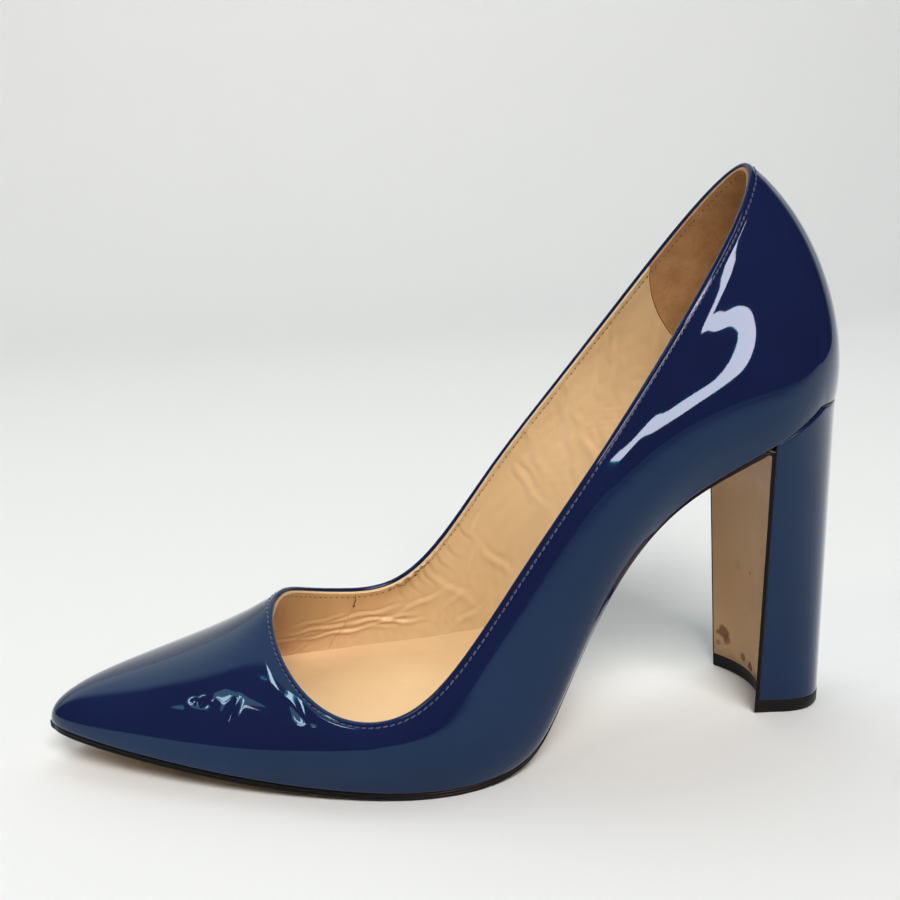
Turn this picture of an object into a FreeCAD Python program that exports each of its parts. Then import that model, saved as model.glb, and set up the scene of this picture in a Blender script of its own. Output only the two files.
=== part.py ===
import FreeCAD, Part

import math
import os

# High heel pump, left foot, seen with the toe towards -X and the inner side of the foot towards +Y.
# Working axes while the shoe is laid out: X from toe tip to heel, Y from outer to inner side, Z up from the floor.
# Every solid is moved by ORIGIN at the end, so the finished shoe stands centred on the frame origin.
ORIGIN = FreeCAD.Vector(-113.67, 4.37, 0.0)

# leather and layer thicknesses, outside face inwards
UPPER = 1.2
LINING = 0.8
LAYER = 0.9          # room between upper and lining for counter, puff and backing
TOP_LAYER = 0.25     # the same room at the topline, where only a tape lies in it

# bottom stack, measured up from the feather edge
SOLE = 1.9
MARGIN = 1.9
BOARD = 1.7
FOAM = 1.3
SOCK = 0.8
GLUE = 0.05

# heel
LIFT = 4.3
FLAP = 1.3
COVER = 0.8

# stations round the shoe: feather edge x y, topline x y z, then how far the wall leans out and up
# from the feather edge and how far it leans out and down from the topline
STATIONS = [
    (228.5, 0.0, 202.3, 0.0, 163.0, 3.0, 20.0, 24.0, 15.0),        # back of the heel
    (222.3, -15.5, 194.3, -12.5, 147.0, 3.5, 20.0, 20.0, 15.0),    # outer side, heel to toe
    (206.5, -27.0, 172.0, -24.0, 117.0, 5.0, 18.0, 7.0, 14.0),
    (181.0, -25.5, 150.5, -29.0, 86.5, 6.0, 16.0, 3.0, 10.0),
    (154.0, -25.5, 131.0, -31.5, 61.0, 8.0, 13.0, 3.0, 8.0),
    (132.0, -34.0, 112.0, -37.0, 35.5, 5.0, 9.0, 5.0, 5.0),
    (108.0, -45.0, 96.5, -41.0, 22.0, 2.0, 9.0, 6.5, 4.0),
    (79.0, -40.0, 79.0, -36.0, 21.0, 2.0, 9.0, 8.0, 4.0),
    (50.0, -30.5, 68.0, -22.5, 27.5, 1.5, 9.0, 12.0, 6.0),
    (23.0, -18.5, 63.5, -9.0, 35.5, 0.3, 7.5, 22.0, 9.5),
    (6.0, -8.5, 63.5, 0.0, 40.5, 0.5, 8.5, 30.0, 14.0),
    (-2.3, 0.0, 64.3, 5.0, 41.4, 2.2, 14.0, 34.0, 17.0),           # toe tip
    (6.0, 8.5, 66.2, 9.0, 42.2, 1.5, 12.0, 30.0, 20.5),            # inner side, toe to heel
    (22.5, 18.0, 68.8, 14.5, 40.9, 1.0, 9.5, 18.0, 23.0),
    (46.0, 29.0, 74.0, 20.0, 37.9, 1.5, 9.0, 10.0, 18.0),
    (70.0, 35.5, 84.0, 25.5, 34.6, 2.0, 10.0, 8.0, 12.0),
    (97.0, 34.0, 100.0, 29.0, 32.5, 4.0, 10.0, 7.0, 8.0),
    (128.0, 24.0, 115.0, 30.5, 44.5, 8.0, 12.0, 5.0, 8.0),
    (156.0, 19.5, 132.5, 30.0, 70.5, 10.0, 14.0, 3.0, 10.0),
    (182.0, 22.0, 151.5, 27.0, 94.5, 7.0, 16.0, 3.0, 12.0),
    (206.5, 25.5, 173.0, 24.0, 122.5, 5.0, 18.0, 7.0, 16.0),
    (222.3, 15.0, 192.2, 13.0, 151.2, 3.5, 20.0, 20.0, 16.0),
]
ROUND = len(STATIONS)
SEAM = 18.0          # station of the single closed seam, inner waist
GRIP = 1.65          # the suede heel grip reaches this many stations either side of the back
VAMP_OUTER = 6.75    # stations where the vamp lining meets the two quarter linings
VAMP_INNER = 15.25
SEAM_GAP = 0.006      # stations left free on each side of a lining seam

# height of the feather edge along the shoe: toe spring, ball, arch and heel seat
BOTTOM = [
    (-10.0, 13.2), (0.0, 12.1), (20.0, 9.5), (50.0, 5.2), (85.0, 2.3), (105.0, 1.92), (121.0, 1.92), (133.0, 5.4),
    (141.0, 21.0), (152.0, 42.8), (163.5, 60.2), (177.0, 73.2), (195.0, 82.3), (215.0, 91.8), (240.0, 111.0),
]


def blend(points, position):
    """Uniform cubic B-spline through a closed ring of control points."""
    whole = math.floor(position)
    part = position - whole
    weights = (
        (1 - part) ** 3 / 6,
        (3 * part ** 3 - 6 * part ** 2 + 4) / 6,
        (-3 * part ** 3 + 3 * part ** 2 + 3 * part + 1) / 6,
        part ** 3 / 6,
    )
    chosen = [points[(int(whole) + step) % len(points)] for step in (-1, 0, 1, 2)]
    return [sum(w * p[axis] for w, p in zip(weights, chosen)) for axis in range(len(points[0]))]


def bottom_at(position):
    """Point (x, z) of the open bottom profile."""
    whole = min(max(int(position), 0), len(BOTTOM) - 4)
    part = position - whole
    weights = (
        (1 - part) ** 3 / 6,
        (3 * part ** 3 - 6 * part ** 2 + 4) / 6,
        (-3 * part ** 3 + 3 * part ** 2 + 3 * part + 1) / 6,
        part ** 3 / 6,
    )
    chosen = BOTTOM[whole:whole + 4]
    return [sum(w * p[axis] for w, p in zip(weights, chosen)) for axis in (0, 1)]


def feather_height(x):
    """Height of the feather edge above the floor at this x."""
    low, high = 0.0, float(len(BOTTOM) - 3)
    for _ in range(40):
        middle = (low + high) / 2
        if bottom_at(middle)[0] < x:
            low = middle
        else:
            high = middle
    return bottom_at((low + high) / 2)[1]


def control_rings():
    """The four rings of control points: feather edge, lower wall, upper wall, topline."""
    rings = [[], [], [], []]
    for index, station in enumerate(STATIONS):
        fx, fy, tx, ty, tz, out_low, up_low, out_top, down_top = station
        ahead = STATIONS[(index + 1) % ROUND]
        behind = STATIONS[index - 1]
        along_x, along_y = ahead[0] - behind[0], ahead[1] - behind[1]
        size = math.hypot(along_x, along_y)
        side = (-along_y / size, along_x / size)
        if side[0] * (fx - 115) + side[1] * fy < 0:
            side = (-side[0], -side[1])
        fz = feather_height(fx)
        rings[0].append((fx, fy, fz))
        rings[1].append((fx + side[0] * out_low, fy + side[1] * out_low, fz + up_low))
        rings[2].append((tx + side[0] * out_top, ty + side[1] * out_top, tz - down_top))
        rings[3].append((tx, ty, tz))
    return rings


RINGS = control_rings()


def wall(t, h):
    """Outer face of the upper: t runs round the shoe in stations, h from feather edge 0 to topline 1."""
    a, b, c, d = [blend(ring, t) for ring in RINGS]
    lift = feather_height(a[0]) - a[2]
    a[2] += lift
    b[2] += lift
    k = 1 - h
    return FreeCAD.Vector(*[
        k ** 3 * a[i] + 3 * h * k * k * b[i] + 3 * h * h * k * c[i] + h ** 3 * d[i] for i in range(3)
    ])


def inset(t, h, depth):
    """Point at this depth inside the outer face."""
    e = 0.02
    low, high = max(h - e, 0), min(h + e, 1)
    outward = (wall(t, high) - wall(t, low)).cross(wall(t + e, h) - wall(t - e, h))
    outward.normalize()
    return wall(t, h) - outward * depth


def layer_room(h):
    """Depth of the lining's outer face: full room low down, almost none at the topline."""
    s = min(max((h - 0.55) / 0.4, 0), 1)
    s = s * s * (3 - 2 * s)
    return UPPER + LAYER + (TOP_LAYER - LAYER) * s


def surface_through(rows):
    surface = Part.BSplineSurface()
    surface.interpolate(rows)
    return surface


def skin(t0, t1, h0, h1, outer, inner, around, across):
    """Closed solid between two depths of the wall, over a span of stations and heights."""
    grids = []
    for depth in (outer, inner):
        rows = []
        for i in range(around + 1):
            t = t0 + (t1 - t0) * i / around
            row = []
            for j in range(across + 1):
                h = h0 + (h1 - h0) * j / across
                row.append(inset(t, h, depth(h)))
            rows.append(row)
        grids.append(rows)
    return solid_between(grids[0], grids[1])


def constant(value):
    return lambda anything: value


def upright(solid):
    """The same solid with its faces turned outwards."""
    if solid.Volume < 0:
        solid.reverse()
    return solid


def drawn_in(t, shrink):
    """Plan point of the feather edge, drawn in towards the middle line of the foot by shrink(x)."""
    here = blend(RINGS[0], t)
    to_x = min(max(here[0], 42.0), 196.0) - here[0]
    to_y = -here[1]
    size = math.hypot(to_x, to_y)
    draw = shrink(here[0])
    return here[0] + to_x / size * draw, here[1] + to_y / size * draw


def solid_between(bottom_rows, top_rows):
    """Closed solid between two grids of points that have the same layout."""
    grids = [surface_through(bottom_rows), surface_through(top_rows)]
    faces = [grid.toShape() for grid in grids]
    u0, u1, v0, v1 = grids[0].bounds()
    p0, p1, q0, q1 = grids[1].bounds()
    pairs = [
        (grids[0].uIso(u0), grids[1].uIso(p0)),
        (grids[0].uIso(u1), grids[1].uIso(p1)),
        (grids[0].vIso(v0), grids[1].vIso(q0)),
        (grids[0].vIso(v1), grids[1].vIso(q1)),
    ]
    for first, second in pairs:
        faces.append(Part.makeRuledSurface(first.toShape(), second.toShape()))
    shell = Part.makeShell(faces)
    shell.sewShape()
    return upright(Part.makeSolid(shell))


TIP = 11.0           # station of the toe tip


def layer(low, high, shrink, start=0.3, end=10.72, end_bulge=None, along=64, across=8):
    """Sheet of the bottom stack: rows run across the shoe, from near the toe tip to near the heel."""
    grids = []
    for rise in (low, high):
        rows = []
        for i in range(along + 1):
            k = i / along
            away = start + (end - start) * k
            ax, ay = drawn_in(TIP - away, shrink)
            bx, by = drawn_in(TIP + away, shrink)
            toe_bulge = -1.1 * (1 - k) ** 10
            heel_bulge = (0.6 if end_bulge is None else end_bulge) * k ** 10
            row = []
            for j in range(across + 1):
                m = j / across
                x = ax + (bx - ax) * m + (toe_bulge + heel_bulge) * 4 * m * (1 - m)
                y = ay + (by - ay) * m
                row.append(FreeCAD.Vector(x, y, feather_height(x) + rise))
            rows.append(row)
        grids.append(rows)
    return solid_between(grids[0], grids[1])


def rim(low, high, outer, inner, t0, t1, around=66, across=4):
    """Band of the bottom stack that follows the feather edge from station t0 to t1."""
    grids = []
    for rise in (low, high):
        rows = []
        for i in range(around + 1):
            t = t0 + (t1 - t0) * i / around
            row = []
            for j in range(across + 1):
                draw = outer + (inner - outer) * j / across
                x, y = drawn_in(t, constant(draw))
                row.append(FreeCAD.Vector(x, y, feather_height(x) + rise))
            rows.append(row)
        grids.append(rows)
    return solid_between(grids[0], grids[1])


def slab(low, high, start=-9.0, end=236.0, half=60.0):
    """Sheet that follows the bottom profile between two heights above the feather edge."""
    edges = []
    for rise in (low, high):
        points = []
        count = 60
        for i in range(count + 1):
            x = start + (end - start) * i / count
            points.append(FreeCAD.Vector(x, -half, feather_height(x) + rise))
        curve = Part.BSplineCurve()
        curve.interpolate(points)
        edges.append(curve.toShape())
    ends = []
    for x in (start, end):
        ends.append(Part.makeLine(
            FreeCAD.Vector(x, -half, feather_height(x) + low),
            FreeCAD.Vector(x, -half, feather_height(x) + high),
        ))
    wire = Part.Wire(Part.sortEdges(edges + ends)[0])
    return upright(Part.Face(wire).extrude(FreeCAD.Vector(0, 2 * half, 0)))


def below_seat(gap, half=60.0):
    """Everything under the feather edge surface, used to trim the heel to the seat."""
    return slab(-150.0, -gap, 150.0, 236.0, half)


def waist_draw(x):
    """The outsole edge hides further under the shoe along the arch."""
    s = max(0.0, 1 - abs(x - 160.0) / 45.0)
    return 0.3 + 1.6 * s * s * (3 - 2 * s)


# heel outline: the curved back and sides between the two breast corners
TOP_CORNER = 2.2         # stations from the back to the breast corner at the seat
HEEL_STEPS = 28
HOLLOW_TOP = 4.5         # how far the breast is dished
HOLLOW_BASE = 6.0
HEEL_LOW, HEEL_HIGH = -10.0, 120.0
HEEL_BASE = [
    (198.0, -14.0), (203.3, -14.3), (208.6, -14.6), (215.0, -14.9), (221.2, -13.2), (225.4, -6.8), (226.8, 3.0),
    (225.4, 12.8), (221.2, 19.2), (215.0, 20.9), (208.6, 20.6), (203.3, 20.3), (198.0, 20.0),
]


def heel_top_point(s):
    """s from -1 at the outer breast corner through 0 at the back to 1 at the inner breast corner."""
    station = s * TOP_CORNER
    a = blend(RINGS[0], -station)
    return FreeCAD.Vector(a[0], a[1], feather_height(a[0]))


def heel_base_point(s):
    """Bottom outline of the heel: straight sides running into a rounded back."""
    x, y = blend(HEEL_BASE, 6 + 5 * s)
    return FreeCAD.Vector(x, y, LIFT)


def heel_point(s, z, draw=0.0):
    """Point on the heel wall at height z, drawn inwards by draw."""
    def raw(value):
        top = heel_top_point(value)
        base = heel_base_point(value)
        k = (z - base.z) / (top.z - base.z)
        return base + (top - base) * k
    here = raw(s)
    if draw:
        e = 0.02
        along = raw(min(s + e, 1)) - raw(max(s - e, -1))
        side = FreeCAD.Vector(-along.y, along.x, 0)
        side.normalize()
        centre = FreeCAD.Vector(206, 2, here.z)
        if side.dot(here - centre) < 0:
            side = -side
        here = here - side * draw
    here.z = z
    return here


def breast_mid(z, shift=0.0):
    k = (z - LIFT) / (85.0 - LIFT)
    left, right = heel_point(-1, z), heel_point(1, z)
    hollow = HOLLOW_BASE + (HOLLOW_TOP - HOLLOW_BASE) * k
    return FreeCAD.Vector((left.x + right.x) / 2 + hollow + shift, (left.y + right.y) / 2, z)


def heel_wire(z, draw, shift):
    """Closed heel section: curved wall plus the dished breast moved forward or back by shift."""
    points = [heel_point(-1 + 2 * i / HEEL_STEPS, z, draw) for i in range(HEEL_STEPS + 1)]
    curve = Part.BSplineCurve()
    curve.interpolate(points)
    first, last = points[0], points[-1]
    push = FreeCAD.Vector(shift, 0, 0)
    edges = [curve.toShape()]
    if shift:
        edges.append(Part.makeLine(last, last + push))
    edges.append(Part.Arc(last + push, breast_mid(z, shift), first + push).toShape())
    if shift:
        edges.append(Part.makeLine(first + push, first))
    return Part.Wire(edges)


def between(low, high):
    """Everything between two levels."""
    return Part.makeBox(400, 200, high - low, FreeCAD.Vector(-50, -100, low))


def heel_block(draw, shift):
    """The whole heel body, taller than needed, before it is trimmed to the seat and the lift."""
    return Part.makeLoft([heel_wire(HEEL_LOW, draw, shift), heel_wire(HEEL_HIGH, draw, shift)], True, True)


def flap_wire(z, thick):
    """Section of the leather that turns down the breast."""
    a, b = heel_point(-1, z), heel_point(1, z)
    push = FreeCAD.Vector(-thick, 0, 0)
    return Part.Wire([
        Part.Arc(a, breast_mid(z), b).toShape(),
        Part.makeLine(b, b + push),
        Part.Arc(b + push, breast_mid(z, -thick), a + push).toShape(),
        Part.makeLine(a + push, a),
    ])


def behind_breast():
    """Room behind the breast face, wide enough to trim the sole off along it."""
    wires = []
    for z in (HEEL_LOW, HEEL_HIGH):
        a, b = heel_point(-1, z), heel_point(1, z)
        corners = [
            FreeCAD.Vector(b.x, 70, z), FreeCAD.Vector(270, 70, z),
            FreeCAD.Vector(270, -70, z), FreeCAD.Vector(a.x, -70, z),
        ]
        edges = [Part.Arc(a, breast_mid(z), b).toShape(), Part.makeLine(b, corners[0])]
        for first, second in zip(corners, corners[1:]):
            edges.append(Part.makeLine(first, second))
        edges.append(Part.makeLine(corners[-1], a))
        wires.append(Part.Wire(edges))
    return Part.makeLoft(wires, True, True)


def drilled(shape, rods):
    for rod in rods:
        shape = shape.cut(rod)
    return shape


def rod(x, y, low, high, radius):
    return Part.makeCylinder(radius, high - low, FreeCAD.Vector(x, y, low), FreeCAD.Vector(0, 0, 1))


nodes = {}

# ---- upper, lining and what lies between them
lining_out = layer_room
lining_in = lambda h: layer_room(h) + LINING
between_out = constant(UPPER + GLUE)
between_in = lambda h: layer_room(h) - GLUE

nodes["upper"] = skin(SEAM + 0.01, SEAM + ROUND - 0.01, 0, 1, constant(0.0), constant(UPPER), 132, 12)
linings = {
    "vamp_lining": (VAMP_OUTER, VAMP_INNER, 54),
    "outer_lining": (GRIP, VAMP_OUTER, 38),
    "inner_lining": (VAMP_INNER, ROUND - GRIP, 38),
    "heel_grip": (-GRIP, GRIP, 28),
}
for name, (start, end, columns) in linings.items():
    glued = lambda h: lining_out(h) + GLUE
    nodes[name] = skin(start + SEAM_GAP, end - SEAM_GAP, 0, 1, glued, lining_in, columns, 10)
nodes["heel_counter"] = skin(-2.9, 2.9, 0.02, 0.6, between_out, between_in, 40, 8)
nodes["toe_puff"] = skin(8.6, 13.4, 0.02, 0.45, between_out, between_in, 40, 8)
nodes["outer_backing"] = skin(2.95, 8.55, 0.02, 0.6, between_out, constant(UPPER + 0.45), 40, 8)
nodes["inner_backing"] = skin(13.45, 19.05, 0.02, 0.6, between_out, constant(UPPER + 0.45), 40, 8)
for name, h0, h1, deep, deeper in (
    ("topline_tape", 0.93, 0.985, UPPER + 0.02, UPPER + 0.2),
    ("topline_thread", 0.945, 0.962, -0.3, -0.02),
):
    halves = []
    for t0, t1 in ((0.01, 10.99), (11.01, 21.99)):
        halves.append(skin(t0, t1, h0, h1, constant(deep), constant(deeper), 66, 2))
    nodes[name] = Part.makeCompound(halves)

# ---- bottom stack
total = UPPER + LAYER + LINING
seat_rods = [rod(210.0, 1.0, 60.0, 120.0, 2.1)]
nail_places = [(204.0, -11.0), (204.0, 12.0), (217.0, -9.0), (217.0, 10.0)]
nail_rods = [rod(x, y, 60.0, 120.0, 0.85) for x, y in nail_places]

margins = [rim(GLUE, MARGIN, 0.6, 12.0, t0, t1) for t0, t1 in ((0.01, 10.99), (11.01, 21.99))]
nodes["lasted_margin"] = Part.makeCompound(margins)
filler = layer(GLUE, MARGIN, constant(12.1), 0.5, 10.4)
nodes["bottom_filler"] = filler.cut(Part.makeBox(120.0, 12.2, 140.0, FreeCAD.Vector(123.9, -5.1, -20.0)))
shank_plan = Part.makeBox(85.0, 12.0, 140.0, FreeCAD.Vector(124.0, -5.0, -20.0))
nodes["shank"] = slab(0.5, MARGIN, 100.0, 230.0).common(shank_plan)
rivet_places = [(130.0, 1.0), (196.0, 1.0)]
rivet_rods = [rod(x, y, 0.0, 110.0, 1.5) for x, y in rivet_places]
board = layer(MARGIN + GLUE, MARGIN + BOARD, constant(total + 0.1))
foam_low = MARGIN + BOARD + GLUE
foam = layer(foam_low, MARGIN + BOARD + FOAM, constant(total + 0.6))
sock_low = MARGIN + BOARD + FOAM + GLUE
sock = layer(sock_low, sock_low + SOCK, constant(total + 0.1))
nodes["insole_board"] = drilled(board, seat_rods + nail_rods + rivet_rods)
nodes["shank"] = drilled(nodes["shank"], rivet_rods + [rod(204.0, 1.0, 60.0, 120.0, 0.9)])
nodes["sock_foam"] = foam
nodes["sock_lining"] = sock
rivets = []
for place in rivet_places:
    base = feather_height(place[0])
    rivets.append(rod(place[0], place[1], base + 0.6, base + MARGIN + BOARD - 0.1, 1.4))
nodes["shank_rivets"] = Part.makeCompound(rivets)

screw_low, screw_high = 70.0, feather_height(210.0) + MARGIN + BOARD
head = rod(210.0, 1.0, screw_high - 1.6, screw_high - 0.1, 3.4)
nodes["heel_screw"] = rod(210.0, 1.0, screw_low, screw_high - 1.6, 2.0).fuse(head).removeSplitter()
nails = []
for x, y in nail_places:
    top = feather_height(x) + MARGIN + BOARD - 0.1
    nails.append(rod(x, y, top - 16.0, top - 0.7, 0.8).fuse(rod(x, y, top - 0.7, top, 1.8)).removeSplitter())
nodes["heel_nails"] = Part.makeCompound(nails)
head_rods = [rod(210.0, 1.0, screw_high - 1.65, 120.0, 3.5)]
for x, y in nail_places:
    head_rods.append(rod(x, y, feather_height(x) + MARGIN + BOARD - 0.85, 120.0, 1.9))
nodes["insole_board"] = drilled(nodes["insole_board"], head_rods)
nodes["bottom_filler"] = drilled(nodes["bottom_filler"], seat_rods + nail_rods)
nodes["lasted_margin"] = drilled(nodes["lasted_margin"], seat_rods + nail_rods)

# ---- outsole with the flap that covers the breast
behind = behind_breast()
corner = TIP - TOP_CORNER
sole = layer(-SOLE, 0.0, waist_draw, 0.3, corner + 0.3, HOLLOW_TOP).cut(behind)
flap = Part.makeLoft([flap_wire(HEEL_LOW, FLAP), flap_wire(HEEL_HIGH, FLAP)], True, True)
flap = flap.common(below_seat(0.7)).common(between(LIFT, 110))
nodes["outsole"] = sole.fuse(flap).removeSplitter()

# ---- heel
seat = below_seat(0.02)
body = heel_block(0.0, 0.0).common(seat).common(between(LIFT + 0.02, 110))
inside = heel_block(COVER, 0.0).common(seat).common(between(LIFT + 0.02, 110))
nodes["heel_cover"] = body.cut(heel_block(COVER, -6.0))
pin_places = [(214.0, -5.0), (214.0, 11.0)]
pins = [rod(x, y, 1.2, 15.0, 1.5) for x, y in pin_places]
nodes["lift_pins"] = Part.makeCompound(pins)
pin_rods = [rod(x, y, 1.15, 15.1, 1.55) for x, y in pin_places]
deep_rods = [rod(210.0, 1.0, screw_low - 0.1, 120.0, 2.1)] + nail_rods
nodes["heel_core"] = drilled(inside, pin_rods + deep_rods)
nodes["top_lift"] = drilled(heel_block(0.0, -FLAP).common(between(0.0, LIFT)), pin_rods)

os.makedirs("parts", exist_ok=True)
low, high = [1e9] * 3, [-1e9] * 3
for name, shape in nodes.items():
    placed = shape.copy()
    placed.translate(ORIGIN)
    placed.exportStep("parts/" + name + ".step")
    corners = placed.tessellate(0.1)[0]
    spans = []
    for axis in range(3):
        values = [corner[axis] for corner in corners]
        low[axis], high[axis] = min(low[axis], min(values)), max(high[axis], max(values))
        spans += [round(min(values), 1), round(max(values), 1)]
    print(name, shape.isValid(), len(shape.Solids), round(shape.Volume), spans)
print("whole", [round(v, 2) for v in low], [round(v, 2) for v in high])
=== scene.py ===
import math

import bpy
import numpy as np
from mathutils import Matrix, Quaternion, Vector


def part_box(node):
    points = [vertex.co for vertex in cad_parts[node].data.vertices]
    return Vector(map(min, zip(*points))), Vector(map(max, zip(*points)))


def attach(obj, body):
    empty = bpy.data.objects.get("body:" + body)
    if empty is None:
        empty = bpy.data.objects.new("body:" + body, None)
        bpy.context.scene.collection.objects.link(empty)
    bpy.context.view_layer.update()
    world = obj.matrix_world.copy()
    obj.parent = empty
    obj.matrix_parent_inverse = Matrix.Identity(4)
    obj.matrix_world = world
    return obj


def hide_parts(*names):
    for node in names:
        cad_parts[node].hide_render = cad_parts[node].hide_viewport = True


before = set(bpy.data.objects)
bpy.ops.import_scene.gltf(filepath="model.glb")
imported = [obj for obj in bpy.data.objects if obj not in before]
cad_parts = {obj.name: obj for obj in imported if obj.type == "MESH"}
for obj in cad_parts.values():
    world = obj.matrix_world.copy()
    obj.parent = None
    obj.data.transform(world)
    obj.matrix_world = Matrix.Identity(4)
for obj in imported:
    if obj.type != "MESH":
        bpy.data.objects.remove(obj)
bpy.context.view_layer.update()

# High heel pump, left foot. The shoe is laid out in millimetres with its toe tip near x = 0, the heel towards
# +X, the inner side of the foot towards +Y and the floor at z = 0. SHIFT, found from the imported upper, then
# puts every piece in its place in the frame, in metres.
MM = 0.001

# thicknesses in the wall
UPPER = 1.2
LINING = 0.8
LAYER = 0.9  # room for the backings, heel counter and toe puff between upper and lining
TOP_LAYER = 0.25  # the same room at the topline
GLUE = 0.05

# thicknesses at the bottom: the sole below the feather edge, the rest above it
SOLE = 1.9
MARGIN = 1.9
BOARD = 1.7
FOAM = 1.3
SOCK = 0.8
SOCK_TOP = MARGIN + BOARD + FOAM + GLUE + SOCK

# thicknesses at the heel: top lift, breast flap and cover
LIFT = 4.3
FLAP = 1.3
COVER = 0.8

# stations round the shoe: feather edge x y, topline x y z, then how far the wall leans out and up
# from the feather edge and how far it leans out and down from the topline
STATIONS = [
    (228.5, 0, 202.3, 0, 163, 3, 20, 24, 15),  # back of the heel
    (222.3, -15.5, 194.3, -12.5, 147, 3.5, 20, 20, 15),  # outer side, heel to toe
    (206.5, -27, 172, -24, 117, 5, 18, 7, 14),
    (181, -25.5, 150.5, -29, 86.5, 6, 16, 3, 10),
    (154, -25.5, 131, -31.5, 61, 8, 13, 3, 8),
    (132, -34, 112, -37, 35.5, 5, 9, 5, 5),
    (108, -45, 96.5, -41, 22, 2, 9, 6.5, 4),
    (79, -40, 79, -36, 21, 2, 9, 8, 4),
    (50, -30.5, 68, -22.5, 27.5, 1.5, 9, 12, 6),
    (23, -18.5, 63.5, -9, 35.5, 0.3, 7.5, 22, 9.5),
    (6, -8.5, 63.5, 0, 40.5, 0.5, 8.5, 30, 14),
    (-2.3, 0, 64.3, 5, 41.4, 2.2, 14, 34, 17),  # toe tip
    (6, 8.5, 66.2, 9, 42.2, 1.5, 12, 30, 20.5),  # inner side, toe to heel
    (22.5, 18, 68.8, 14.5, 40.9, 1, 9.5, 18, 23),
    (46, 29, 74, 20, 37.9, 1.5, 9, 10, 18),
    (70, 35.5, 84, 25.5, 34.6, 2, 10, 8, 12),
    (97, 34, 100, 29, 32.5, 4, 10, 7, 8),
    (128, 24, 115, 30.5, 44.5, 8, 12, 5, 8),
    (156, 19.5, 132.5, 30, 70.5, 10, 14, 3, 10),
    (182, 22, 151.5, 27, 94.5, 7, 16, 3, 12),
    (206.5, 25.5, 173, 24, 122.5, 5, 18, 7, 16),
    (222.3, 15, 192.2, 13, 151.2, 3.5, 20, 20, 16),
]
ROUND = len(STATIONS)
TIP = 11.0  # station of the toe tip
SEAM = 18.0  # station of the single closed seam, inner waist
GRIP = 1.65  # the suede heel grip reaches this many stations either side of the back
VAMP_OUTER, VAMP_INNER = 6.75, 15.25  # stations where the vamp lining meets the two quarter linings
MIDDLE_X = 115  # the middle of the foot, which the wall leans away from
THINNING = (0.55, 0.95)  # heights on the wall between which the layers thin out towards the topline

# height of the feather edge along the shoe: toe spring, ball, arch and heel seat
BOTTOM = [
    (-10, 13.2), (0, 12.1), (20, 9.5), (50, 5.2), (85, 2.3), (105, 1.92), (121, 1.92), (133, 5.4),
    (141, 21), (152, 42.8), (163.5, 60.2), (177, 73.2), (195, 82.3), (215, 91.8), (240, 111),
]

# heel outline
TOP_CORNER = 2.2  # stations from the back to the breast corner at the seat
HEEL_STEPS = 28  # points in the two sections the heel runs between
HEEL_LOW, HEEL_HIGH = -10.0, 120.0  # heights of those sections
HOLLOW_BASE, HOLLOW_TOP = 6.0, 4.5  # how far the breast is dished
BREAST_TOP = 85.0  # height where the dish has its upper depth
HEEL_CENTRE = np.array([206.0, 2.0, 0.0])
HEEL_BASE = np.array([
    (198, -14), (203.3, -14.3), (208.6, -14.6), (215, -14.9), (221.2, -13.2), (225.4, -6.8), (226.8, 3),
    (225.4, 12.8), (221.2, 19.2), (215, 20.9), (208.6, 20.6), (203.3, 20.3), (198, 20),
])


# ---- the shape of the shoe

def bspline_weights(f):
    """Weights of four control points in a row at the share f of the way between the middle two."""
    return (
        (1 - f) ** 3 / 6,
        (3 * f ** 3 - 6 * f ** 2 + 4) / 6,
        (-3 * f ** 3 + 3 * f ** 2 + 3 * f + 1) / 6,
        f ** 3 / 6,
    )


def spline(ring, t):
    """Uniform cubic B-spline through a closed ring of control points, read at stations t."""
    t = np.asarray(t, float)
    whole = np.floor(t).astype(int)
    weights = bspline_weights((t - whole)[..., None])
    return sum(w * ring[(whole + step) % len(ring)] for w, step in zip(weights, (-1, 0, 1, 2)))


def bottom_profile():
    """Many points of the open bottom profile, for reading heights from."""
    points = np.array(BOTTOM)
    t = np.linspace(0, len(points) - 3, 3000)
    whole = np.minimum(np.floor(t).astype(int), len(points) - 4)
    weights = bspline_weights((t - whole)[:, None])
    return sum(w * points[whole + step] for w, step in zip(weights, range(4)))


PROFILE = bottom_profile()


def feather_height(x):
    """Height of the feather edge above the floor at this x."""
    return np.interp(x, PROFILE[:, 0], PROFILE[:, 1])


def control_rings():
    """The four rings of control points: feather edge, lower wall, upper wall, topline."""
    rings = []
    for index, (fx, fy, tx, ty, tz, out_low, up_low, out_top, down_top) in enumerate(STATIONS):
        ahead, behind = STATIONS[(index + 1) % ROUND], STATIONS[index - 1]
        along_x, along_y = ahead[0] - behind[0], ahead[1] - behind[1]
        side = np.array([-along_y, along_x, 0]) / math.hypot(along_x, along_y)
        if side[0] * (fx - MIDDLE_X) + side[1] * fy < 0:
            side = -side
        feather, top = np.array([fx, fy, feather_height(fx)]), np.array([tx, ty, tz])
        low_wall, high_wall = feather + side * out_low, top + side * out_top
        rings.append((feather, low_wall + [0, 0, up_low], high_wall - [0, 0, down_top], top))
    return np.array(rings).swapaxes(0, 1)


RINGS = control_rings()


def wall(t, h):
    """Outer face of the upper: t runs round the shoe in stations, h from feather edge 0 to topline 1."""
    t, h = np.broadcast_arrays(np.asarray(t, float), np.asarray(h, float))
    a, b, c, d = [spline(ring, t) for ring in RINGS]
    lift = feather_height(a[..., 0]) - a[..., 2]
    a[..., 2] += lift
    b[..., 2] += lift
    h = h[..., None]
    k = 1 - h
    return k ** 3 * a + 3 * h * k * k * b + 3 * h * h * k * c + h ** 3 * d


def unit(vectors):
    return vectors / np.linalg.norm(vectors, axis=-1, keepdims=True)


def stacked(*parts):
    """Points or directions from their x, y and z, or from x and y alone."""
    return np.stack(np.broadcast_arrays(*parts), axis=-1)


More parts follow.
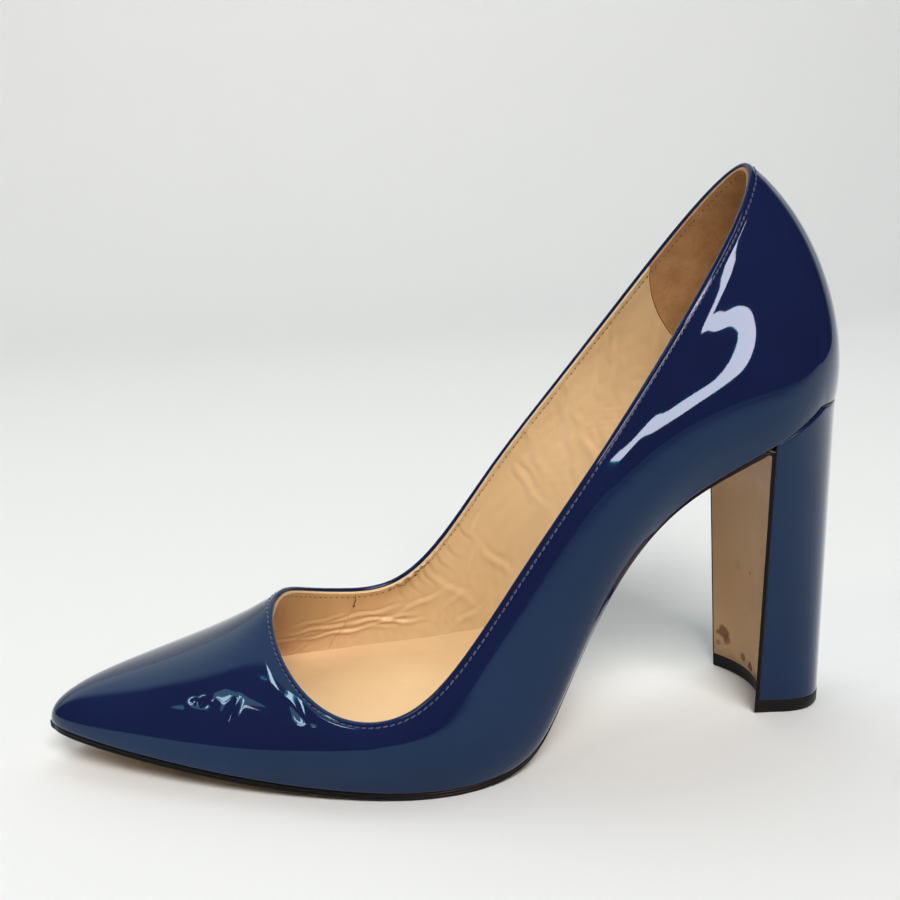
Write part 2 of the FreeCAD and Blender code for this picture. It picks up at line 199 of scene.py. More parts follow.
def run_along(line):
    """Distance of each point of a line from its start."""
    return np.concatenate([[0], np.cumsum(np.linalg.norm(np.diff(line, axis=0), axis=1))])


def read_line(marks, known, line):
    """Points on a line where the values known at its points reach these marks."""
    return stacked(*(np.interp(marks, known, line[:, k]) for k in range(3)))


def smoothed(knots, count, rounds):
    """Points evenly numbered along a line of knots, its corners rounded by averaging neighbours."""
    knots = np.array(knots)
    line = read_line(np.linspace(0, len(knots) - 1, count), np.arange(len(knots)), knots)
    for _ in range(rounds):
        line[1:-1] = (line[:-2] + 2 * line[1:-1] + line[2:]) / 4
    return line


def outward(t, h):
    """Direction that points out of the wall."""
    e = 0.02
    t, h = np.broadcast_arrays(np.asarray(t, float), np.asarray(h, float))
    up = wall(t, np.minimum(h + e, 1)) - wall(t, np.maximum(h - e, 0))
    around = wall(t + e, h) - wall(t - e, h)
    return unit(np.cross(up, around))


def inset(t, h, depth):
    """Point at this depth in millimetres inside the outer face."""
    return wall(t, h) - outward(t, h) * np.asarray(depth)[..., None]


def smoothstep(low, high, value):
    s = np.clip((np.asarray(value, float) - low) / (high - low), 0, 1)
    return s * s * (3 - 2 * s)


def bump(value, width):
    """Rounded bump of height 1 about zero."""
    return np.exp(-(np.asarray(value, float) / width) ** 2)


def layer_room(h):
    """Depth of the lining's outer face: full room low down, almost none at the topline."""
    return UPPER + LAYER + (TOP_LAYER - LAYER) * smoothstep(*THINNING, h)


def wall_lengths(t):
    """Distance up the wall from the feather edge, for many heights at each station."""
    steps = np.linspace(0, 1, 81)
    points = wall(t[:, None], steps[None, :])
    pieces = np.linalg.norm(np.diff(points, axis=1), axis=2)
    return steps, np.concatenate([np.zeros((len(t), 1)), np.cumsum(pieces, axis=1)], axis=1)


def heights(t, rows):
    """Heights on the wall for a row layout; rows(total) lists distances up the wall from the feather edge."""
    steps, run = wall_lengths(t)
    return np.array([np.interp(rows(line[-1]), line, steps) for line in run])


def even_stations(t0, t1, count, h=0.6):
    """Stations from t0 to t1 that lie evenly spaced along the wall."""
    fine = np.linspace(t0, t1, 3000)
    run = run_along(wall(fine, h))
    return np.interp(np.linspace(0, run[-1], count), run, fine)


def wall_grid(t, low, top, between):
    """Heights and distances up and down the wall at stations t, for rows in three groups.

    low lists distances up from the feather edge, top lists distances down from the topline, and the
    rest are spaced evenly between those groups.
    """
    def rows(total):
        middle = np.linspace(low[-1], total - top[0], between + 2)[1:-1]
        return np.concatenate([low, middle, total - top])

    total = wall_lengths(t)[1][:, -1]
    up = np.array([rows(value) for value in total])
    return heights(t, rows), up, total[:, None] - up


def wall_distance(t, h, centre_t, centre_h, degrees):
    """How far points of the wall lie along and across a line through one of its points."""
    centre = wall(centre_t, centre_h)
    e = 0.05
    around = unit(wall(centre_t + e, centre_h) - wall(centre_t - e, centre_h))
    up = unit(np.cross(around, outward(centre_t, centre_h)))
    if up[2] < 0:
        up = -up
    a = math.radians(degrees)
    along = around * math.cos(a) + up * math.sin(a)
    across = -around * math.sin(a) + up * math.cos(a)
    offset = wall(t, h) - centre
    return offset @ along, offset @ across


def find_shift():
    """From the layout's millimetres to the frame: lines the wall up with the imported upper."""
    low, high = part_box("upper")
    t = np.linspace(0, ROUND, 2200, endpoint=False)[:, None]
    points = wall(t, np.linspace(0, 1, 41)[None, :]).reshape(-1, 3)
    middle = (points.min(0) + points.max(0)) / 2
    packed = (np.array(low) + np.array(high)) / 2 / MM
    return np.array([packed[0] - middle[0], packed[1] - middle[1], 0.0])


SHIFT = find_shift()


# ---- mesh helpers

def mesh_object(name, points, faces, material):
    """New object in the scene with a smooth-shaded mesh."""
    mesh = bpy.data.meshes.new(name)
    mesh.from_pydata([tuple(point) for point in points], [], [tuple(int(i) for i in face) for face in faces])
    mesh.materials.append(material)
    mesh.shade_smooth()
    made = bpy.data.objects.new(name, mesh)
    bpy.context.scene.collection.objects.link(made)
    return made


def add_piece(name, points, faces, slot, material, replaces=(), crease=50):
    """Makes a piece from points in layout millimetres and puts it on the shoe's body."""
    placed = (np.asarray(points, float).reshape(-1, 3) + SHIFT) * MM
    piece = mesh_object(name, placed.tolist(), faces, material)
    piece.data.validate()
    piece.data.set_sharp_from_angle(angle=math.radians(crease))
    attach(piece, "root")
    if replaces:
        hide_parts(*replaces)
    return piece


def grid_faces(rows, columns, wrap_rows=False, wrap_columns=False):
    """Quads of a grid of points numbered row by row."""
    index = np.arange(rows * columns).reshape(rows, columns)
    if wrap_rows:
        index = np.vstack([index, index[:1]])
    if wrap_columns:
        index = np.hstack([index, index[:, :1]])
    return np.stack([index[:-1, :-1], index[1:, :-1], index[1:, 1:], index[:-1, 1:]], axis=-1).reshape(-1, 4)


def bridge(first, second):
    """Quads between two closed lines of point numbers."""
    return np.stack([first, second, np.roll(second, -1), np.roll(first, -1)], axis=-1)


def turned_out(points, faces):
    """The same faces, all turned so that the solid's volume is positive."""
    corners = points[faces[:, :3]]
    volume = np.einsum("ij,ij->i", corners[:, 0], np.cross(corners[:, 1], corners[:, 2])).sum()
    return faces[:, ::-1] if volume < 0 else faces


def outline_of(rows, columns):
    """Row and column numbers round the edge of a grid."""
    low, right = rows - 1, columns - 1
    return np.array(
        [(0, j) for j in range(columns)] + [(i, right) for i in range(1, rows)]
        + [(low, j) for j in range(right - 1, -1, -1)] + [(i, 0) for i in range(low - 1, 0, -1)])


SOFT_EDGE = ((0.15, 0.06), (0.5, 0.12), (0.85, 0.06))


def sheet_solid(face, back, edge=SOFT_EDGE):
    """Points and faces of a closed solid between two grids of points with a shaped edge between them.

    edge lists how far through the thickness each line of the edge lies and how far it stands out. The faces
    of the first grid come first, then those of the second and those of the edge.
    """
    rows, columns = face.shape[:2]
    count = rows * columns
    loop = outline_of(rows, columns)
    inner = np.clip(loop, 1, (rows - 2, columns - 2))
    from_face, from_back = face[loop[:, 0], loop[:, 1]], back[loop[:, 0], loop[:, 1]]
    out = unit(from_face - face[inner[:, 0], inner[:, 1]])
    rings = [from_face + (from_back - from_face) * share + out * stand for share, stand in edge]
    points = np.concatenate([face.reshape(-1, 3), back.reshape(-1, 3)] + rings)
    numbers = loop[:, 0] * columns + loop[:, 1]
    lines = [numbers] + [2 * count + k * len(loop) + np.arange(len(loop)) for k in range(len(edge))]
    lines.append(numbers + count)
    flat = grid_faces(rows, columns)
    sides = [bridge(first, second) for first, second in zip(lines, lines[1:])]
    return points, turned_out(points, np.concatenate([flat[:, ::-1], flat + count] + sides))


def add_sheet(name, face, back, slot, material, replaces, edge=SOFT_EDGE):
    """Piece between two grids of points."""
    return add_piece(name, *sheet_solid(face, back, edge), slot, material, replaces)


def joined(parts):
    """Several solids, each its points and faces, as the points and faces of one."""
    points, faces, count = [], [], 0
    for own_points, own_faces in parts:
        points.append(own_points)
        faces += [tuple(i + count for i in face) for face in own_faces]
        count += len(own_points)
    return np.concatenate(points), faces


# ---- materials

class Nodes:
    """Makes the nodes of one tree and keeps their links short to write."""

    def __init__(self, tree):
        self.tree = tree

    def node(self, kind, inputs=(), **settings):
        made = self.tree.nodes.new("ShaderNode" + kind)
        for key, value in settings.items():
            setattr(made, key, value)
        for key, value in dict(inputs).items():
            self.put(made.inputs[key], value)
        return made

    def put(self, socket, value):
        if isinstance(value, bpy.types.NodeSocket):
            self.tree.links.new(value, socket)
        else:
            socket.default_value = value

    def math(self, operation, *values):
        return self.node("Math", dict(enumerate(values)), operation=operation).outputs[0]

    def times(self, first, second):
        return self.math("MULTIPLY", first, second)

    def spread(self, value, low, high, to_low=0.0, to_high=1.0, **settings):
        """Value moved from the range low to high into another range, and kept inside it."""
        inputs = {"Value": value, "From Min": low, "From Max": high, "To Min": to_low, "To Max": to_high}
        return self.node("MapRange", inputs, **settings).outputs[0]

    def coordinate(self, vector, index):
        return self.node("SeparateXYZ", {0: vector}).outputs[index]


class Finish(Nodes):
    """One procedural material."""

    def __init__(self, name):
        self.material = bpy.data.materials.new(name)
        self.material.use_nodes = True
        super().__init__(self.material.node_tree)
        self.shader = self.tree.nodes["Principled BSDF"]
        self.place = self.node("TexCoord").outputs["Object"]

    def surface(self, **values):
        for key, value in values.items():
            self.put(self.shader.inputs[key.replace("_", " ")], value)

    def noise(self, scale, detail=3.0, roughness=0.5, stretch=(1, 1, 1)):
        place = self.place
        if stretch != (1, 1, 1):
            place = self.node("Mapping", {"Vector": place, "Scale": stretch}).outputs[0]
        inputs = {"Vector": place, "Scale": scale, "Detail": detail, "Roughness": roughness}
        return self.node("TexNoise", inputs).outputs[0]

    def mottle(self, scale, detail, roughness=0.5, ends=(0.3, 0.7), stretch=(1, 1, 1)):
        """Noise spread from the range ends[:2] to 0 to 1, or to ends[2:]."""
        return self.spread(self.noise(scale, detail, roughness, stretch), *ends)

    def pores(self, scale):
        cells = self.node("TexVoronoi", {"Vector": self.place, "Scale": scale}, feature="F1")
        return self.spread(cells.outputs["Distance"], 0.0, 0.5)

    def blend(self, share, first, second):
        """Mix of two colours, each a socket or three numbers."""
        made = self.node("Mix", {0: share}, data_type="RGBA")
        for index, colour in ((6, first), (7, second)):
            self.put(made.inputs[index], colour if isinstance(colour, bpy.types.NodeSocket) else (*colour, 1))
        return made.outputs[2]

    def relief(self, height, depth, strength=1.0):
        """Bump of this depth in millimetres from a height between 0 and 1, on top of earlier ones."""
        inputs = {"Height": height, "Distance": depth * MM, "Strength": strength}
        normal = self.shader.inputs["Normal"]
        if normal.is_linked:
            inputs["Normal"] = normal.links[0].from_socket
        self.put(normal, self.node("Bump", inputs).outputs[0])

    def spot(self, x, y, z, radius, ragged=0.5):
        """1 inside a ragged spot about a point given in layout millimetres, falling to 0 outside."""
        centre = [(v + s) * MM for v, s in zip((x, y, z), SHIFT)]
        away = self.node("VectorMath", {0: self.place, 1: centre}, operation="DISTANCE").outputs["Value"]
        edge = self.mottle(420, 4, 0.5, (0.2, 0.8, 1 - ragged, 1 + ragged))
        return self.spread(self.times(away, edge), radius * MM * 1.15, radius * MM * 0.7)


NAVY = (0.0085, 0.0135, 0.055)
NAVY_DEEP = (0.0070, 0.0105, 0.043)


def patent_finish(name):
    """Clear lacquer over navy leather that throws soft blue light back."""
    finish = Finish(name)
    finish.surface(
        Base_Color=finish.blend(finish.mottle(28, 3), NAVY_DEEP, NAVY), Roughness=0.04, IOR=1.5,
        Specular_IOR_Level=0.30, Specular_Tint=(0.0, 0.62, 1.0, 1),
        Coat_Weight=1.0, Coat_Roughness=0.012, Coat_IOR=1.25,
    )
    finish.relief(finish.noise(75, 1.0, 0.4), 0.10, 0.4)
    finish.relief(finish.noise(1500, 2.0), 0.003, 0.5)
    return finish.material


def lining_finish(name, light, dark, dirt=0.25, vamp=0.0):
    """Smooth lining leather; vamp is how much painted shade darkens it under the vamp."""
    finish = Finish(name)
    broad = finish.mottle(34, 4)
    fine = finish.mottle(900, 3, ends=(0.35, 0.65))
    flecks = finish.mottle(240, 5, 0.7, (0.69, 0.76, 0, dirt))
    # painted shade: the lining turns darker towards the toe, under the vamp, where less light reaches
    painted_shade_under_vamp = finish.spread(finish.coordinate(finish.place, 0), -0.030, -0.055, 0, vamp)
    colour = finish.blend(broad, light, dark)
    colour = finish.blend(finish.times(fine, 0.1), colour, dark)
    colour = finish.blend(flecks, colour, (0.22, 0.12, 0.05))
    finish.surface(
        Base_Color=finish.blend(painted_shade_under_vamp, colour, (0.30, 0.165, 0.07)),
        Roughness=finish.spread(broad, 0, 1, 0.36, 0.46), IOR=1.45, Coat_Weight=0.7, Coat_Roughness=0.22,
    )
    finish.relief(finish.pores(1500), 0.03, 0.45)
    finish.relief(finish.noise(300, 4, 0.6), 0.12, 0.6)
    return finish.material


def suede_finish():
    finish = Finish("suede_brown")
    fibre = finish.mottle(2600, 3, 0.7)
    colour = finish.blend(finish.mottle(160, 5, 0.65), (0.36, 0.175, 0.065), (0.52, 0.29, 0.13))
    finish.surface(
        Base_Color=finish.blend(finish.times(fibre, 0.35), colour, (0.24, 0.11, 0.04)),
        Roughness=0.95, Specular_IOR_Level=0.2,
        Sheen_Weight=0.35, Sheen_Roughness=0.5, Sheen_Tint=(0.8, 0.55, 0.35, 1),
    )
    finish.relief(fibre, 0.07, 0.8)
    return finish.material


# stains on the breast: x, y, z and radius in layout millimetres, strength
SOLE_STAINS = [
    (204.1, 16.6, 12.6, 2.6, 0.85), (204.4, 15.4, 10.6, 1.8, 0.7), (203.0, 18.7, 8.6, 1.0, 0.5),
    (207.2, 8.4, 7.4, 1.3, 0.8), (207.6, 4.0, 6.2, 1.5, 1.0), (207.8, -0.2, 5.2, 1.3, 0.7),
    (206.3, 3.4, 37.4, 0.8, 0.45), (205.2, 10.5, 37.6, 1.5, 0.14), (204.6, -4.7, 66.9, 2.2, 0.16),
]


def sole_finish():
    """Smooth tan sole leather: worn at the tread, stained on the breast."""
    finish = Finish("sole_leather_tan")
    colour = finish.blend(finish.mottle(40, 4), (0.54, 0.345, 0.18), (0.48, 0.30, 0.155))
    tread = finish.spread(finish.coordinate(finish.place, 2), 0.011, 0.003)
    scuffs = finish.mottle(130, 6, 0.7, (0.42, 0.62), (1, 0.25, 1))
    grime = finish.times(tread, finish.times(scuffs, 0.75))
    colour = finish.blend(grime, colour, (0.16, 0.105, 0.065))
    for x, y, z, radius, strength in SOLE_STAINS:
        stain = finish.times(finish.spot(x, y, z, radius), strength)
        colour = finish.blend(stain, colour, (0.16, 0.055, 0.02))
    rough = finish.spread(grime, 0, 1, 0.46, 0.8)
    finish.surface(Base_Color=colour, Roughness=rough, IOR=1.4, Specular_IOR_Level=0.3)
    finish.relief(finish.pores(1300), 0.02, 0.3)
    finish.relief(scuffs, 0.05, 0.35)
    return finish.material


def edge_finish():
    finish = Finish("edge_paint_black")
    wear = finish.mottle(300, 5, 0.65, (0.66, 0.76, 0, 0.2))
    finish.surface(
        Base_Color=finish.blend(wear, (0.003, 0.003, 0.0035), (0.07, 0.045, 0.025)),
        Roughness=finish.mottle(500, 3, ends=(0.3, 0.7, 0.28, 0.5)), Specular_IOR_Level=0.14,
    )
    finish.relief(finish.noise(650, 4), 0.05, 0.5)
    return finish.material


def rubber_finish():
    finish = Finish("lift_rubber_black")
    dust = finish.mottle(260, 5, 0.7, (0.58, 0.78, 0, 0.5))
    finish.surface(
        Base_Color=finish.blend(dust, (0.0035, 0.0035, 0.004), (0.03, 0.028, 0.027)),
        Roughness=finish.spread(dust, 0, 0.55, 0.42, 0.75), Specular_IOR_Level=0.16,
    )
    finish.relief(finish.noise(900, 4, 0.6), 0.05, 0.5)
    return finish.material


def thread_finish(name, colour):
    """Twisted sewing thread."""
    finish = Finish(name)
    twist = finish.mottle(2200, 2, ends=(0.35, 0.65))
    finish.surface(
        Base_Color=finish.blend(twist, tuple(c * 0.6 for c in colour), colour),
        Roughness=0.42, Coat_Weight=0.4, Coat_Roughness=0.25, Sheen_Weight=0.3,
    )
    finish.relief(twist, 0.05, 0.6)
    return finish.material


def plain_finish(name, light, dark, scale, roughness, metallic=0.0, depth=0.05, stretch=(1, 1, 1)):
    """Board, cloth, cork, foam, steel and plastic of the parts inside the shoe."""
    finish = Finish(name)
    mottle = finish.mottle(scale, 5, 0.6, stretch=stretch)
    finish.surface(
        Base_Color=finish.blend(mottle, dark, light), Metallic=metallic,
        Roughness=finish.spread(mottle, 0, 1, min(roughness + 0.08, 1), roughness),
    )
    finish.relief(mottle, depth, 0.6)
    return finish.material


PATENT = patent_finish("patent_navy")
# vamp=0.8 paints shade on this lining under the vamp
TAN = lining_finish("lining_tan", (0.74, 0.515, 0.285), (0.65, 0.44, 0.225), vamp=0.8)
SOCK_TAN = lining_finish("sock_tan", (0.74, 0.53, 0.295), (0.66, 0.455, 0.24), 0.35)
SUEDE = suede_finish()
SOLE_TAN = sole_finish()
EDGE = edge_finish()
RUBBER = rubber_finish()
NAVY_THREAD = thread_finish("thread_navy", (0.032, 0.052, 0.13))
# dark thread of the loose ends, also the painted shade of the needle holes in the lining
DARK_THREAD_AND_HOLE_SHADE = thread_finish("thread_dark_and_hole_shade", (0.02, 0.013, 0.010))


# ---- upper

TOP_ROLL = 0.74  # radius of the folded topline
STITCH_DOWN = 2.1  # the topstitching lies this far below the topline
STITCH_PITCH = 1.9
FOOT_ROUND = 0.5  # radius of the upper's outer edge at the feather edge
CREASED = (7.3, 9.4)  # between these stations the columns are packed closer for the creases

# creases of the vamp: station, height on the wall, slant from level, half length, half width, depth
CREASES = [
    (9.04, 0.575, 70, 1, 0.8, 0.42), (9.14, 0.56, 20, 1.3, 0.8, 0.20), (8.93, 0.60, 20, 1.6, 0.9, -0.16),
    (8.52, 0.585, 84, 3, 1.2, 0.30),
    (8.74, 0.58, 8, 4, 1.4, 0.10), (9.35, 0.52, 6, 6, 1.3, 0.09),
    (7.86, 0.80, 16, 4.2, 1.1, 0.12), (7.62, 0.86, 24, 4.5, 1, 0.09), (7.75, 0.74, 6, 6, 1.4, 0.08),
    (7.10, 0.66, -12, 6, 1.5, 0.08), (6.60, 0.72, 30, 7, 2.2, 0.10),
]


def upper_relief(t, h, down):
    """How far the outer face stands proud of the plain wall, in millimetres."""
    proud = 0.07 * bump(down - 1.25, 0.55) - 0.13 * bump(down - STITCH_DOWN, 0.32)
    proud += 0.05 * bump(down - 6.5, 1.6)
    for centre_t, centre_h, slant, length, width, depth in CREASES:
        along, across = wall_distance(t, h, centre_t, centre_h, slant)
        proud -= depth * bump(along, length) * bump(across, width)
    spacing = np.linalg.norm(wall(SEAM + 0.5, 0.5) - wall(SEAM - 0.5, 0.5))
    from_seam = (t - SEAM) * spacing
    proud += 0.12 * bump(np.abs(from_seam) - 0.9, 0.6) - 0.5 * bump(from_seam, 0.3)
    return proud


def build_upper():
    t = even_stations(0, ROUND, 521)[:-1]
    t = np.concatenate([t[(t < CREASED[0]) | (t > CREASED[1])], np.linspace(*CREASED, 210)])
    near_seam = SEAM + np.array([-0.05, -0.03, -0.018, -0.009, 0, 0.009, 0.018, 0.03, 0.05])
    t = np.unique(np.concatenate([t[np.abs(t - SEAM) > 0.06], near_seam]))
    low = np.array([0.0, 0.25, 0.6, 1.0, 1.6, 2.4])
    top = np.array([5.0, 4.0, 3.2, 2.7, 2.4, 2.1, 1.8, 1.5, 1.1, TOP_ROLL])
    h, up, down = wall_grid(t, low, top, 74)
    column = t[:, None]
    tuck = FOOT_ROUND - np.sqrt(np.maximum(FOOT_ROUND ** 2 - np.maximum(FOOT_ROUND - up, 0) ** 2, 0))
    outer = inset(column, h, tuck - upper_relief(column, h, down))

    # over the topline, back onto the inner face, and down it
    angles = np.radians(np.arange(20, 181, 20))
    roll_down = np.concatenate([TOP_ROLL * (1 - np.sin(angles)), [1.6, 3.0, 5.0]])
    roll_depth = np.concatenate([TOP_ROLL * (1 - np.cos(angles)), [2 * TOP_ROLL - 0.02, 1.36, UPPER]])
    h_roll = heights(t, lambda total: total - roll_down)
    roll = inset(column, h_roll, roll_depth)
    inner = inset(column, h_roll[:, -1:] * np.linspace(1, 0, 12)[1:], UPPER)

    points = np.concatenate([outer, roll, inner], axis=1)
    faces = grid_faces(points.shape[0], points.shape[1], True, True)
    flat = points.reshape(-1, 3)
    add_piece("upper_patent", flat, turned_out(flat, faces), "patent_leather", PATENT, ["upper"])


# ---- linings

EDGE_DROP = 0.5  # the lining's cut edge lies this far below the folded topline
PUCKERS = [  # station, height, slant, half length, half width, depth into the shoe
    (16.35, 0.92, 96, 5, 0.7, 0.40), (16.5, 0.93, 92, 4.5, 0.6, 0.45), (16.62, 0.92, 88, 6, 0.7, 0.50),
    (16.75, 0.92, 86, 5, 0.7, 0.45), (16.9, 0.92, 84, 6.5, 0.7, 0.40), (17.1, 0.9, 82, 6, 0.8, 0.35),
    (17.35, 0.9, 80, 7, 0.8, 0.30), (16.15, 0.9, 98, 4, 0.7, 0.35),
    (14.3, 0.52, 6, 10, 0.7, 0.30), (14.9, 0.60, 3, 11, 0.8, 0.38), (15.3, 0.50, 4, 13, 0.7, 0.45),
    (15.8, 0.58, -4, 9, 0.7, 0.50), (16.1, 0.50, -10, 8, 0.7, 0.50), (15.6, 0.68, 2, 12, 0.8, 0.30),
    (16.5, 0.60, 4, 9, 0.9, 0.35), (14.6, 0.70, 8, 8, 0.8, 0.25), (16.9, 0.5, 20, 10, 1, 0.35),
    (17.3, 0.62, 30, 12, 1, 0.30), (17, 0.36, 8, 9, 0.9, 0.45),
    (18.4, 0.72, 62, 14, 1.2, 0.30), (18.7, 0.6, 60, 16, 1.3, 0.32), (19, 0.75, 66, 15, 1.2, 0.28),
    (19.4, 0.62, 64, 18, 1.3, 0.30), (18.1, 0.5, 70, 10, 1.1, 0.30), (19.7, 0.8, 58, 14, 1.1, 0.26),
    (18.9, 0.45, 58, 16, 1.2, 0.32), (19.9, 0.6, 62, 12, 1.1, 0.26), (18.2, 0.8, 66, 10, 1, 0.30),
    (4.2, 0.8, 100, 8, 1.2, 0.30), (4.6, 0.7, 96, 8, 1.2, 0.30), (3.6, 0.75, 110, 12, 1.3, 0.28),
    (3, 0.7, 115, 14, 1.4, 0.26), (6.4, 0.6, 5, 9, 0.9, 0.3), (7.4, 0.62, -4, 8, 0.8, 0.3),
]


def lining_relief(t, h, down):
    """Small folds of the lining, towards the inside of the shoe."""
    fold = -0.12 * bump(down - 2.6, 0.4) + 0.08 * bump(down - 1.4, 0.6)
    for centre_t, centre_h, slant, length, width, depth in PUCKERS:
        along, across = wall_distance(t, h, centre_t, centre_h, slant)
        bent = across + 0.05 * along + 0.5 * np.sin(along * 0.5)
        ridge = bump(bent, width) - 0.7 * bump(bent - 1.7 * width, 0.8 * width)
        fold += depth * bump(along, length) * ridge
    low = smoothstep(0.62, 0.35, h)
    fold += 0.07 * low * np.sin(t * 41 + 3 * np.sin(t * 9)) * np.sin(h * 38)
    fold += 0.06 * np.sin(t * 23 + h * 17) * np.sin(t * 11 - h * 29)
    return fold


def grip_lean(h):
    """The heel grip's front edges slant: lower down it reaches further forward."""
    return 0.08 + 0.6 * (1 - h)


def build_lining(name, t0, t1, columns, slot, material, lean_start=0, lean_end=0, wrinkled=True):
    """One lining; its ends lean along the heel grip's slanted edges where they meet it."""
    t = even_stations(t0, t1, columns)
    low = np.array([0.0, 0.6, 1.2])
    top = np.array([6.0, 4.6, 3.6, 3.1, 2.6, 2.1, 1.6, 1.1, EDGE_DROP])
    h, _, down = wall_grid(t, low, top, 66)
    column = t[:, None]
    reach = min(2.2, (t1 - t0) / 2)
    ends = lean_start * smoothstep(t0 + reach, t0, column) + lean_end * smoothstep(t1 - reach, t1, column)
    leaning = column + grip_lean(h) * ends
    depth = layer_room(h) + GLUE
    fold = lining_relief(leaning, h, down) if wrinkled else 0.02 * np.sin(leaning * 60) * np.sin(h * 50)
    face = inset(leaning, h, depth + LINING + fold)
    back = inset(leaning, h, depth)
    add_sheet(name + "_leather", face, back, slot, material, [name], ((0.2, 0.05), (0.5, 0.08), (0.8, 0.05)))


# ---- sock and foam

CLIMB_X = [50, 80, 95, 110, 122, 135, 150, 170, 200]  # how far the sock climbs the inner side, along x
CLIMB = [0.3, 2.4, 4.0, 5.6, 7.0, 6.5, 4.0, 1.5, 0.5]


def sock_climb(t):
    """Extra height of the sock's edge at these stations."""
    x = spline(RINGS[0], t)[..., 0]
    return np.where(np.asarray(t) > TIP, np.interp(x, CLIMB_X, CLIMB), 0.5)


def sock_edge(t, climbs):
    """Where the lining's inner face stands at the height of the sock, as x and y."""
    h = np.linspace(0, 0.9, 80)
    depth = layer_room(h) + GLUE + LINING
    edge = []
    for value, climb in zip(t, climbs):
        points = inset(value, h, depth)
        rise = points[:, 2] - feather_height(points[:, 0])
        level = SOCK_TOP - 0.3 + climb
        after = np.argmax(rise > level)
        before = after - 1
        share = (level - rise[before]) / (rise[after] - rise[before])
        edge.append(points[before, :2] + (points[after, :2] - points[before, :2]) * share)
    return np.array(edge)


TOE_BULGE, HEEL_BULGE = -1.1, 0.6  # how far the ends of the sock bow along the shoe


def between_sides(outer, inner, m, bulge):
    """Plan points between matching points of the two sides, each row bowed by its bulge."""
    x, y = (outer[:, k:k + 1] + (inner[:, k:k + 1] - outer[:, k:k + 1]) * m for k in (0, 1))
    return x + bulge[:, None] * 4 * m * (1 - m), y


def bottom_sheet(rise, start, end, rows, columns, climbing=1.0):
    """Grid of points between matching stations of the two sides, this far above the feather edge."""
    share = np.linspace(0, 1, rows)
    away = start + (end - start) * share
    outer_climb, inner_climb = sock_climb(TIP - away) * climbing, sock_climb(TIP + away) * climbing
    m = np.linspace(0, 1, columns)[None, :]
    bulge = TOE_BULGE * (1 - share) ** 10 + HEEL_BULGE * share ** 10
    x, y = between_sides(sock_edge(TIP - away, outer_climb), sock_edge(TIP + away, inner_climb), m, bulge)
    tilt = inner_climb[:, None] * np.maximum((m - 0.4) / 0.6, 0) ** 1.7
    tilt = tilt + outer_climb[:, None] * np.maximum((0.2 - m) / 0.2, 0) ** 1.7
    return stacked(x, y, feather_height(x) + rise + tilt), share[:, None], m


def build_sock():
    face, share, m = bottom_sheet(SOCK_TOP, 0.35, 10.66, 190, 61)
    curl = 0.35 * smoothstep(0.9, 1.0, np.abs(2 * m - 1))
    ball = 0.7 * bump(share - 0.52, 0.13) * bump(2 * m - 1, 0.6)
    heel = 0.5 * bump(share - 0.93, 0.06) * bump(2 * m - 1, 0.6)
    waves = 0.06 * np.sin(share * 70 + 4 * np.sin(m * 7)) * np.sin(m * 9 + share * 12)
    face[..., 2] += curl - ball - heel + waves
    back = face.copy()
    back[..., 2] -= SOCK * 0.95
    add_sheet("sock_lining_leather", face, back, "lining_leather", SOCK_TAN, ["sock_lining"])

    bed = MARGIN + BOARD + GLUE
    pad, share, m = bottom_sheet(bed, 0.5, 10.5, 110, 25, 0.0)
    centre = pad.mean(axis=1, keepdims=True)
    pad = centre + (pad - centre) * 0.93
    pad[..., 2] = feather_height(pad[..., 0]) + bed
    crown = (FOAM - 0.35) * (1 - np.abs(2 * m - 1) ** 6) * np.ones_like(share)
    puffed = pad.copy()
    puffed[..., 2] += crown * (0.85 + 0.15 * np.cos(share * 5))
    foam = plain_finish("foam_cream", (0.74, 0.70, 0.58), (0.62, 0.57, 0.45), 1400, 0.9, depth=0.12)
    piece = add_sheet("sock_pad", puffed, pad, "foam", foam, ["sock_foam"])


# ---- stitching

def capsule(length, radius, rings=6, sides=8):
    """Points and faces of a rounded bar lying along x."""
    a = (math.pi * (np.arange(rings) + 0.5) / rings)[:, None]
    b = 2 * math.pi * np.arange(sides) / sides
    around = radius * np.sin(a) ** 0.6
    bar = stacked(-np.cos(a) * length / 2, around * np.cos(b), around * np.sin(b)).reshape(-1, 3)
    points = np.concatenate([bar, [(-length / 2, 0, 0), (length / 2, 0, 0)]])
    faces = list(grid_faces(rings, sides, False, True))
    first, last, ring = rings * sides, rings * sides + 1, (rings - 1) * sides
    for s in range(sides):
        n = (s + 1) % sides
        faces += [(first, s, n), (last, ring + n, ring + s)]
    return points, faces


def build_stitches(name, down, depth, material, length, radius, tilt=0.0, replaces=()):
    """A row of separate stitches this far below the topline and this deep in the wall."""
    t = even_stations(SEAM + 0.02, SEAM + ROUND - 0.02, 1600, 1.0)
    h = heights(t, lambda total: np.array([total - down]))[:, 0]
    out = outward(t, h)
    line = wall(t, h) - out * depth
    run = run_along(line)
    count = int(run[-1] / STITCH_PITCH)
    marks = (np.arange(count) + 0.5) * run[-1] / count
    along = unit(read_line(marks + 0.3, run, line) - read_line(marks - 0.3, run, line))
    side = unit(np.cross(unit(read_line(marks, run, out)), along))
    normal = np.cross(along, side)
    slanted = unit(along * math.cos(tilt) + side * math.sin(tilt))
    axes = np.stack([slanted, np.cross(normal, slanted), normal], axis=1)
    bar, faces = capsule(length, radius)
    row = joined([(bar @ frame_axes + middle, faces)
                  for frame_axes, middle in zip(axes, read_line(marks, run, line))])
    add_piece(name, *row, "thread", material, replaces, crease=80)


